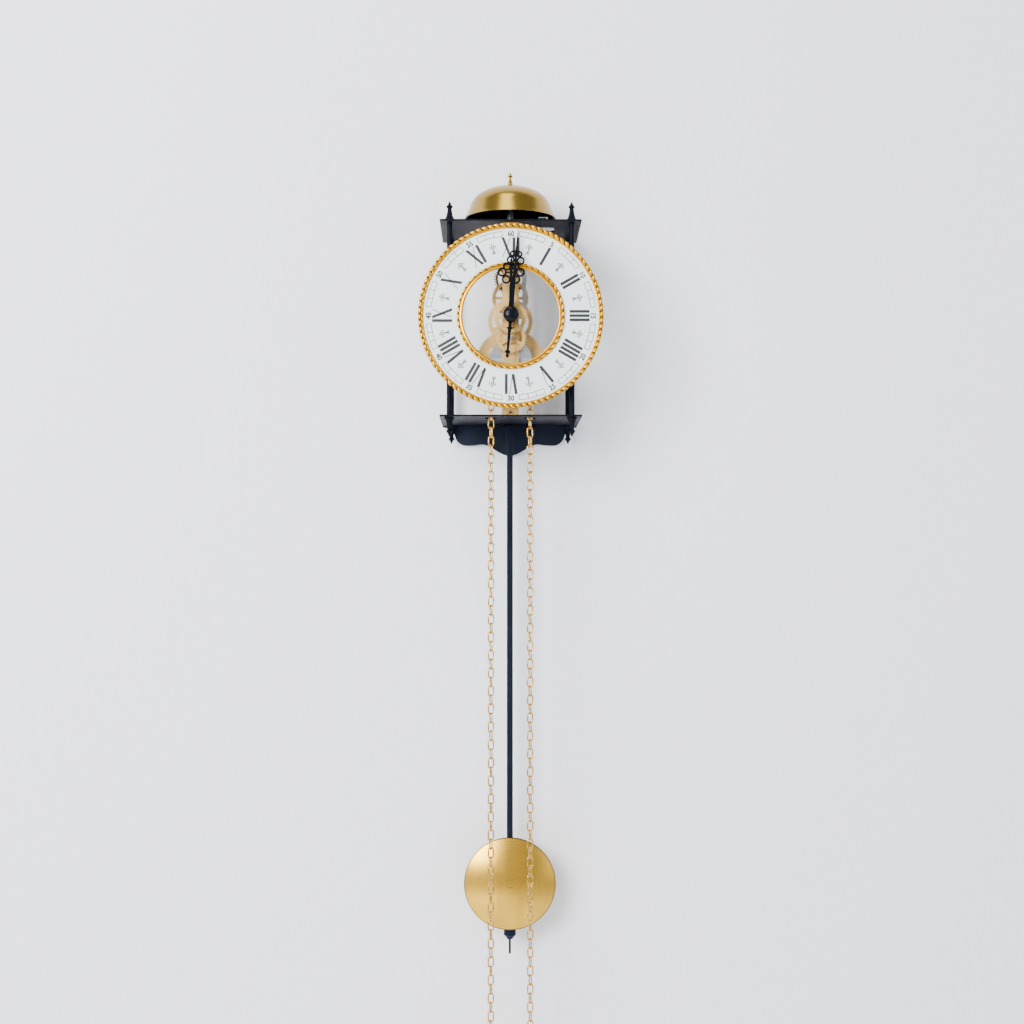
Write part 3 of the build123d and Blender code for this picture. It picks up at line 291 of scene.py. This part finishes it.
def enamelMaterial():
    material, tree, shader = newMaterial("dialEnamel")
    broad = noise(tree, objectCoordinates(tree), 30)
    fine = noise(tree, objectCoordinates(tree), 1200, detail=2)
    colour = ramp(tree, broad, [(0.3, (0.80, 0.90, 0.88)), (0.7, (0.86, 0.95, 0.93))])
    tree.links.new(colour, shader.inputs["Base Color"])
    tree.links.new(mapRange(tree, fine, 0.28, 0.36), shader.inputs["Roughness"])
    shader.inputs["Coat Weight"].default_value = 0.2
    bump(tree, fine, shader, 0.05, 0.0001)
    return material


def inkMaterial(name, colour):
    material, tree, shader = newMaterial(name)
    fine = noise(tree, objectCoordinates(tree), 1500, detail=2)
    mixed = ramp(tree, fine, [(0.3, colour), (0.7, shade(colour, 1.25))])
    tree.links.new(mixed, shader.inputs["Base Color"])
    tree.links.new(mapRange(tree, fine, 0.35, 0.5), shader.inputs["Roughness"])
    return material


paints = {name: paintMaterial(name, look) for name, look in finishes.items()}
metalOf = {name: metalMaterial(name, look) for name, look in metals.items()}
bellBrass = spunMaterial("bellBrass", spunBrass["bell"], middleOf("bell_finial"), (1, 1, 0))
bobBrass = spunMaterial("bobBrass", spunBrass["bob"], middleOf("pendulum_bob"), (1, 0, 1))
weightBrass = spunMaterial("weightBrass", spunBrass["weight"], middleOf("weight_shell"), (0, 0, 1))
ropeGilt = metalMaterial("ropeGilt", metals["gilt"])
# painted shade: the rope's crevices, the inside of the bell and the bob's edge
darkenHollows(ropeGilt)
darkenInside(bellBrass)
darkenRim(bobBrass, 39.7 * mm)
enamel = enamelMaterial()
blackInk = inkMaterial("numeralInk", (0.010, 0.010, 0.013))
greyInk = inkMaterial("hairlineInk", (0.06, 0.07, 0.08))

slotFinish = {
    "black_paint": paints["blackPaint"],
    "textured_black": paints["texturedBlack"],
    "rubber_pad": paints["rubber"],
    "bell_brass": bellBrass,
    "steel": metalOf["steel"],
    "polished_steel": metalOf["polishedSteel"],
    "dial_white": enamel,
    "gilt": metalOf["gilt"],
    "train_brass": metalOf["trainBrass"],
    "escape_bronze": metalOf["escapeBrassPaintedShadow"],
    "hand_black": paints["handBlack"],
    "rod_black": paints["rodBlack"],
    "bob_brass": bobBrass,
    "chain_brass": metalOf["chainBrass"],
    "weight_brass": weightBrass,
}
for entry in frame["record"]["subparts"]:
    piece = nodes[entry["node"]]
    piece.data.materials.clear()
    piece.data.materials.append(slotFinish[entry["material_slot"]])
print("materials on the frame's nodes")


def meshPiece(name, bm, material, body=None, smooth=True):
    mesh = bpy.data.meshes.new(name)
    bm.to_mesh(mesh)
    bm.free()
    piece = bpy.data.objects.new(name, mesh)
    bpy.context.scene.collection.objects.link(piece)
    mesh.materials.append(material)
    if smooth:
        mesh.shade_smooth()
    if body:
        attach(piece, body)
    return piece


def evaluatedMesh(holder):
    depsgraph = bpy.context.evaluated_depsgraph_get()
    return bpy.data.meshes.new_from_object(holder.evaluated_get(depsgraph))


def sweepRing(bm, centre, sectionAt, steps):
    # a closed ring about the Y axis through centre; sectionAt(angle) lists (radius, y) points
    rows = []
    for step in range(steps):
        angle = 2 * pi * step / steps
        row = []
        for radius, y in sectionAt(angle):
            x, z = centre.x + radius * sin(angle), centre.z + radius * cos(angle)
            row.append(bm.verts.new((x, y, z)))
        rows.append(row)
    for step, row in enumerate(rows):
        following = rows[(step + 1) % steps]
        for i in range(len(row)):
            j = (i + 1) % len(row)
            bm.faces.new((row[i], row[j], following[j], following[i]))
    bmesh.ops.recalc_face_normals(bm, faces=bm.faces)


ropeSection = 16
ropeBezel = {
    "radius": 76.9 * mm, "thickness": 1.75 * mm, "twists": 92, "depth": 0.50, "steps": 1472,
}
ropeInner = {"radius": 44.5 * mm, "thickness": 1.25 * mm, "twists": 48, "depth": 0.46, "steps": 768}


def makeRope(name, sizes, node, flangeInner, lift):
    # twisted rope section: the strand's ridge winds round the section once for each twist
    low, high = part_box(node)
    centre = (low + high) / 2
    middleY = low.y + sizes["thickness"]

    def section(angle):
        points = []
        for i in range(ropeSection):
            around = 2 * pi * i / ropeSection
            ridge = abs(sin((around + sizes["twists"] * angle) / 2))
            size = sizes["thickness"] * (1 - sizes["depth"] * (1 - ridge) ** 1.4)
            points.append((sizes["radius"] + size * cos(around), middleY + size * sin(around)))
        return points

    bm = bmesh.new()
    sweepRing(bm, centre, section, sizes["steps"])
    rope = meshPiece(name, bm, ropeGilt, "frame")
    # how deep each point lies between two turns of the rope, for the painted shade in the crevices
    creviceShade = rope.data.attributes.new("creviceShade", "FLOAT", "POINT")
    for index, item in enumerate(creviceShade.data):
        angle = 2 * pi * (index // ropeSection) / sizes["steps"]
        around = 2 * pi * (index % ropeSection) / ropeSection
        item.value = (1 - abs(sin((around + sizes["twists"] * angle) / 2))) ** 1.4
    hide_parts(node)

    # smooth flange with rounded edges that carries the rope
    bm = bmesh.new()
    outer = sizes["radius"] + 0.2 * mm
    back = high.y if node == "inner_ring" else dialFace
    front = dialFace - lift

    def flange(angle):
        return [
            (flangeInner, back),
            (flangeInner, front + 0.35 * mm),
            (flangeInner + 0.15 * mm, front + 0.1 * mm),
            (flangeInner + 0.4 * mm, front),
            (outer, front),
            (outer, back),
        ]

    sweepRing(bm, centre, flange, 256)
    band = meshPiece(name + "_flange", bm, metalOf["gilt"], "frame")
    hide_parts(node)


makeRope("bezel_rope", ropeBezel, "dial_bezel", 74.1 * mm, 1.1 * mm)
makeRope("inner_rope", ropeInner, "inner_ring", 40.9 * mm, 1.0 * mm)
print("rope rings made")


dialPrint = {
    "lift": 0.05 * mm, "depth": 0.05 * mm,
    "numeralFoot": 49.6, "numeralHeight": 17.0, "thick": 2.45,
    "thin": 0.6, "trackInner": 67.7, "trackOuter": 71.9, "trackLine": 0.5,
    "figureRadius": 69.85, "figureSize": 6.1, "fleurRadius": 58.2,
}


def placeOnDial(point, radius, angle, flip=False):
    # a point of a mark, x along the rim and y outwards in mm, to its place on the dial
    x, y = point
    if flip:
        x, y = -x, -y
    outward = radius + y
    px = outward * sin(angle) + x * cos(angle)
    pz = outward * cos(angle) - x * sin(angle)
    return dialCentre.x + px * mm, dialCentre.z + pz * mm


def addFlat(bm, points):
    # a thin prism on the dial's face, from points (x, z) in metres
    front = dialFace - dialPrint["lift"] - dialPrint["depth"]
    back = dialFace - 0.01 * mm
    frontRow = [bm.verts.new((x, front, z)) for x, z in points]
    backRow = [bm.verts.new((x, back, z)) for x, z in points]
    bm.faces.new(frontRow)
    bm.faces.new(list(reversed(backRow)))
    for i in range(len(points)):
        j = (i + 1) % len(points)
        bm.faces.new((frontRow[i], backRow[i], backRow[j], frontRow[j]))


def addMark(bm, points, radius, angle):
    addFlat(bm, [placeOnDial(point, radius, angle) for point in points])


def addStroke(bm, start, end, width, radius, angle):
    # a straight stroke cut level at both ends, as on a painted numeral
    half = width / 2
    (x0, y0), (x1, y1) = start, end
    addMark(bm, [(x0 - half, y0), (x0 + half, y0), (x1 + half, y1), (x1 - half, y1)], radius, angle)


def addLine(bm, start, end, width, radius, angle):
    (x0, y0), (x1, y1) = start, end
    length = sqrt((x1 - x0) ** 2 + (y1 - y0) ** 2)
    nx, ny = -(y1 - y0) / length * width / 2, (x1 - x0) / length * width / 2
    corners = [(x0 + nx, y0 + ny), (x1 + nx, y1 + ny), (x1 - nx, y1 - ny), (x0 - nx, y0 - ny)]
    addMark(bm, corners, radius, angle)


def addArc(bm, radius, width, start, end, steps):
    inner, outer = (radius - width / 2) * mm, (radius + width / 2) * mm
    for i in range(steps):
        a, b = start + (end - start) * i / steps, start + (end - start) * (i + 1) / steps
        corners = [(inner, a), (outer, a), (outer, b), (inner, b)]
        addFlat(bm, [(dialCentre.x + r * sin(t), dialCentre.z + r * cos(t)) for r, t in corners])


strokeWidths = {"I": 3.6, "V": 7.8, "X": 8.8}
romanHours = ["XII", "I", "II", "III", "IIII", "V", "VI", "VII", "VIII", "IX", "X", "XI"]


def addRoman(dark, text, angle):
    foot, height = dialPrint["numeralFoot"], dialPrint["numeralHeight"]
    thick, thin = dialPrint["thick"], dialPrint["thin"]
    x = -sum(strokeWidths[letter] for letter in text) / 2
    for letter in text:
        width = strokeWidths[letter]
        left, right, centre = x + 1.1, x + width - 1.1, x + width / 2
        if letter == "I":
            addStroke(dark, (centre, 0), (centre, height), thick, foot, angle)
        if letter == "V":
            addStroke(dark, (centre, 0), (left, height), thick, foot, angle)
            addStroke(dark, (centre + 0.3, 0), (right, height), thin, foot, angle)
        if letter == "X":
            addStroke(dark, (right, 0), (left, height), thick, foot, angle)
            addStroke(dark, (left, 0), (right, height), thin, foot, angle)
        x += width


def addFleur(dark, grey, angle):
    radius, line = dialPrint["fleurRadius"], 0.6
    # middle petal
    petal = [(0, 4.6), (0.9, 2.6), (0.7, 0.6), (0, -0.6), (-0.7, 0.6), (-0.9, 2.6), (0, 4.6)]
    for a, b in zip(petal, petal[1:]):
        addLine(grey, a, b, line, radius, angle)
    for side in (-1, 1):
        curl = []
        for i in range(9):
            turn = radians(-100 + 32 * i)
            reach = 1.7 - 0.08 * i
            curl.append((side * (1.75 + reach * 0.8 * sin(turn)), 1.1 + reach * cos(turn)))
        for a, b in zip(curl, curl[1:]):
            addLine(grey, a, b, line, radius, angle)
        addLine(grey, (0, -2.2), (side * 1.5, -3.2), line, radius, angle)
    addLine(grey, (-1.7, -3.9), (1.7, -3.9), line, radius, angle)
    addLine(grey, (0, -0.6), (0, -4.3), line, radius, angle)
    dot = [(0.62 * cos(2 * pi * i / 12), -1.7 + 0.62 * sin(2 * pi * i / 12)) for i in range(12)]
    addMark(dark, dot, radius, angle)


def addFigure(bm, text, angle):
    # a five-minute figure from the built-in font, upright on both halves of the dial
    curve = bpy.data.curves.new("figure", "FONT")
    curve.body = text
    curve.size = dialPrint["figureSize"]
    curve.align_x = "CENTER"
    curve.offset = 0.2
    curve.resolution_u = 3
    holder = bpy.data.objects.new("figure", curve)
    bpy.context.scene.collection.objects.link(holder)
    bpy.context.view_layer.update()
    flat = evaluatedMesh(holder)
    bpy.data.objects.remove(holder)
    lower = pi / 2 + 0.01 < angle < 3 * pi / 2 - 0.01
    height = max(v.co.y for v in flat.vertices)
    front = dialFace - dialPrint["lift"] - dialPrint["depth"]
    shape = bmesh.new()
    shape.from_mesh(flat)
    bmesh.ops.remove_doubles(shape, verts=shape.verts, dist=0.001)
    for vert in shape.verts:
        point = (vert.co.x * 0.92, vert.co.y - height / 2)
        x, z = placeOnDial(point, dialPrint["figureRadius"], angle, flip=lower)
        vert.co = (x, front, z)
    extruded = bmesh.ops.extrude_face_region(shape, geom=shape.faces[:])
    moved = [item for item in extruded["geom"] if isinstance(item, bmesh.types.BMVert)]
    for vert in moved:
        vert.co.y = dialFace - 0.01 * mm
    bmesh.ops.recalc_face_normals(shape, faces=shape.faces)
    solid = bpy.data.meshes.new("figure")
    shape.to_mesh(solid)
    shape.free()
    bm.from_mesh(solid)
    bpy.data.meshes.remove(solid)
    bpy.data.meshes.remove(flat)


darkMarks, greyMarks = bmesh.new(), bmesh.new()
for hour, text in enumerate(romanHours):
    hourAngle = 2 * pi * hour / 12
    addRoman(darkMarks, text, hourAngle)
    addFleur(darkMarks, greyMarks, hourAngle + pi / 12)
    sector = 2 * pi / 60
    for trackRadius in (dialPrint["trackInner"], dialPrint["trackOuter"]):
        start, end = hourAngle + sector, hourAngle + 4 * sector
        addArc(greyMarks, trackRadius, dialPrint["trackLine"], start, end, 12)
    for minute in (1, 2, 3, 4):
        rail = (dialPrint["trackInner"] + dialPrint["trackOuter"]) / 2
        half = (dialPrint["trackOuter"] - dialPrint["trackInner"]) / 2
        place = hourAngle + minute * sector
        addLine(greyMarks, (0, -half), (0, half), dialPrint["trackLine"], rail, place)
    addFigure(darkMarks, str(5 * hour or 60), hourAngle)
for bm in (darkMarks, greyMarks):
    bmesh.ops.recalc_face_normals(bm, faces=bm.faces)
meshPiece("dial_numerals", darkMarks, blackInk, "frame", smooth=False)
meshPiece("dial_hairlines", greyMarks, greyInk, "frame", smooth=False)
print("dial printed")


chainLink = {
    "pitch": 7.63 * mm, "wire": 0.64 * mm, "width": 5.9 * mm, "length": 8.99 * mm, "count": 75,
}


def chainTree():
    tree = bpy.data.node_groups.new("hangingChain", "GeometryNodeTree")
    interface = tree.interface
    for label, kind in (
        ("Count", "NodeSocketInt"), ("Pitch", "NodeSocketFloat"), ("Wire", "NodeSocketFloat"),
        ("Width", "NodeSocketFloat"), ("Length", "NodeSocketFloat"), ("Top", "NodeSocketVector"),
        ("First Turn", "NodeSocketInt"), ("Material", "NodeSocketMaterial"),
    ):
        interface.new_socket(label, in_out="INPUT", socket_type=kind)
    interface.new_socket("Geometry", in_out="OUTPUT", socket_type="NodeSocketGeometry")
    nodesOf, link = tree.nodes, tree.links.new

    def math(operation, a, b=None):
        node = nodesOf.new("ShaderNodeMath")
        node.operation = operation
        for socket, value in zip(node.inputs, (a, b)):
            if value is None:
                continue
            if isinstance(value, (int, float)):
                socket.default_value = value
            else:
                link(value, socket)
        return node.outputs[0]

    def combine(x=None, y=None, z=None):
        node = nodesOf.new("ShaderNodeCombineXYZ")
        for socket, value in zip(node.inputs, (x, y, z)):
            if value is not None:
                link(value, socket)
        return node.outputs[0]

    given = nodesOf.new("NodeGroupInput").outputs
    # one link: a circle pulled apart into an oval with straight sides, then given its wire
    bendRadius = math("SUBTRACT", math("MULTIPLY", given["Width"], 0.5), given["Wire"])
    straight = math("SUBTRACT", math("MULTIPLY", given["Length"], 0.5), bendRadius)
    circle = nodesOf.new("GeometryNodeCurvePrimitiveCircle")
    circle.inputs["Resolution"].default_value = 20
    link(bendRadius, circle.inputs["Radius"])
    turned = nodesOf.new("GeometryNodeTransform")
    turned.inputs["Rotation"].default_value = (pi / 2, radians(9), 0)
    link(circle.outputs[0], turned.inputs["Geometry"])
    place = nodesOf.new("GeometryNodeInputPosition")
    split = nodesOf.new("ShaderNodeSeparateXYZ")
    link(place.outputs[0], split.inputs[0])
    stretched = nodesOf.new("GeometryNodeSetPosition")
    link(turned.outputs[0], stretched.inputs["Geometry"])
    pull = math("MULTIPLY", math("SIGN", split.outputs["Z"]), straight)
    link(combine(z=pull), stretched.inputs["Offset"])
    wire = nodesOf.new("GeometryNodeCurvePrimitiveCircle")
    wire.inputs["Resolution"].default_value = 8
    link(given["Wire"], wire.inputs["Radius"])
    solid = nodesOf.new("GeometryNodeCurveToMesh")
    link(stretched.outputs[0], solid.inputs["Curve"])
    link(wire.outputs[0], solid.inputs["Profile Curve"])
    # the links, each turned a quarter turn from the one above
    line = nodesOf.new("GeometryNodeMeshLine")
    link(given["Count"], line.inputs["Count"])
    link(given["Top"], line.inputs["Start Location"])
    link(combine(z=math("MULTIPLY", given["Pitch"], -1.0)), line.inputs["Offset"])
    index = nodesOf.new("GeometryNodeInputIndex")
    parity = math("MODULO", math("ADD", index.outputs[0], given["First Turn"]), 2.0)
    # every link hangs a little off square, each by its own small amount
    stray = nodesOf.new("FunctionNodeRandomValue")
    stray.inputs[2].default_value = radians(12)
    stray.inputs[3].default_value = radians(26)
    quarter = math("ADD", math("MULTIPLY", parity, pi / 2), stray.outputs[1])
    spread = nodesOf.new("GeometryNodeInstanceOnPoints")
    link(line.outputs[0], spread.inputs["Points"])
    link(solid.outputs[0], spread.inputs["Instance"])
    link(combine(z=quarter), spread.inputs["Rotation"])
    realize = nodesOf.new("GeometryNodeRealizeInstances")
    link(spread.outputs[0], realize.inputs[0])
    smooth = nodesOf.new("GeometryNodeSetShadeSmooth")
    link(realize.outputs[0], smooth.inputs[0])
    finish = nodesOf.new("GeometryNodeSetMaterial")
    link(smooth.outputs[0], finish.inputs["Geometry"])
    link(given["Material"], finish.inputs["Material"])
    link(finish.outputs[0], nodesOf.new("NodeGroupOutput").inputs[0])
    return tree


def runNodes(name, tree, values):
    # evaluates a node tree on an empty mesh and keeps the result as a plain mesh object
    piece = bpy.data.objects.new(name, bpy.data.meshes.new(name + "_seed"))
    bpy.context.scene.collection.objects.link(piece)
    modifier = piece.modifiers.new("nodes", "NODES")
    modifier.node_group = tree
    sockets = {s.name: s.identifier for s in tree.interface.items_tree if s.in_out == "INPUT"}
    for label, value in values.items():
        modifier[sockets[label]] = value
    bpy.context.view_layer.update()
    result = evaluatedMesh(piece)
    piece.modifiers.remove(modifier)
    piece.data = result
    result.name = name
    return piece


hangingChain = chainTree()
for node, body, firstTurn in (("chain_left", "weight", 0), ("chain_right", "pull_ring", 1)):
    low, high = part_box(node)
    centre = (low + high) / 2
    top = Vector((centre.x, centre.y, high.z - chainLink["length"] / 2 - chainLink["wire"]))
    strand = runNodes(node + "_links", hangingChain, {
        "Count": chainLink["count"], "Pitch": chainLink["pitch"], "Wire": chainLink["wire"],
        "Width": chainLink["width"], "Length": chainLink["length"], "Top": top,
        "First Turn": firstTurn, "Material": metalOf["chainBrass"],
    })
    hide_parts(node)
    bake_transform(strand)
print("chain strands made")


wallLook = {"size": 8.0, "gap": 4.6 * mm, "colour": (0.90, 0.91, 0.95)}


def wallMaterial():
    # seen from the front only, so that views from behind look past it
    material, tree, shader = newMaterial("wallPaint")
    fine = noise(tree, objectCoordinates(tree), 160, detail=3)
    colour = ramp(tree, fine, [(0.3, wallLook["colour"]), (0.7, shade(wallLook["colour"], 1.03))])
    tree.links.new(colour, shader.inputs["Base Color"])
    shader.inputs["Roughness"].default_value = 0.85
    shader.inputs["Specular IOR Level"].default_value = 0.2
    geometry = addNode(tree, "ShaderNodeNewGeometry")
    clear = addNode(tree, "ShaderNodeBsdfTransparent")
    mix = addNode(tree, "ShaderNodeMixShader")
    tree.links.new(geometry.outputs["Backfacing"], mix.inputs[0])
    tree.links.new(shader.outputs[0], mix.inputs[1])
    tree.links.new(clear.outputs[0], mix.inputs[2])
    tree.links.new(mix.outputs[0], tree.nodes["Material Output"].inputs["Surface"])
    return material


def flatPanel(name, corners, material):
    mesh = bpy.data.meshes.new(name)
    mesh.from_pydata(corners, [], [(0, 1, 2, 3)])
    panel = bpy.data.objects.new(name, mesh)
    mesh.materials.append(material)
    bpy.context.scene.collection.objects.link(panel)


half = wallLook["size"] / 2
wallPaint = wallMaterial()
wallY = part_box("wall_spacers")[1].y + 0.6 * mm
floorZ = cadBox[0][2] - 0.55
wallCorners = [(-half, floorZ), (half, floorZ), (half, half), (-half, half)]
floorCorners = [(-half, -half), (half, -half), (half, half), (-half, half)]
flatPanel("wall", [(x, wallY, z) for x, z in wallCorners], wallPaint)
flatPanel("floor", [(x, y, floorZ) for x, y in floorCorners], wallPaint)

lightRig = {
    "key": {"place": (-1.15, -2.0, 0.35), "size": 1.25, "power": 112},
    "fill": {"place": (1.9, -1.8, 0.1), "size": 1.8, "power": 16},
    "top": {"place": (-0.3, -1.1, 1.8), "size": 0.9, "power": 18},
    "low": {"place": (-0.6, -1.6, -1.6), "size": 1.2, "power": 10},
    "back": {"place": (0.6, 1.6, 0.8), "size": 1.6, "power": 14},
}
for label, lamp in lightRig.items():
    light = bpy.data.lights.new(label, "AREA")
    light.size = lamp["size"]
    light.energy = lamp["power"]
    holder = bpy.data.objects.new(label, light)
    holder.location = lamp["place"]
    aim = Vector((0, -0.05, -0.25)) - holder.location
    holder.rotation_euler = aim.to_track_quat("-Z", "Y").to_euler()
    bpy.context.scene.collection.objects.link(holder)

world = bpy.data.worlds.new("studio")
world.use_nodes = True
world.node_tree.nodes["Background"].inputs["Color"].default_value = (0.86, 0.88, 0.95, 1)
world.node_tree.nodes["Background"].inputs["Strength"].default_value = 0.62
bpy.context.scene.world = world

viewpoint = {"offset": (-15.12, -1568.81, -224.15), "pitch": 2.27, "yaw": 0.63, "lens": 61.16}
camera = bpy.data.cameras.new("camera")
camera.lens = viewpoint["lens"]
camera.sensor_width = 36
cameraHolder = bpy.data.objects.new("camera", camera)
x, y, z = viewpoint["offset"]
cameraHolder.location = (x * mm, y * mm, dialCentre.z + z * mm)
cameraHolder.rotation_euler = (radians(90 + viewpoint["pitch"]), 0, -radians(viewpoint["yaw"]))
bpy.context.scene.collection.objects.link(cameraHolder)
bpy.context.scene.camera = cameraHolder
print("stage, lights and camera set")
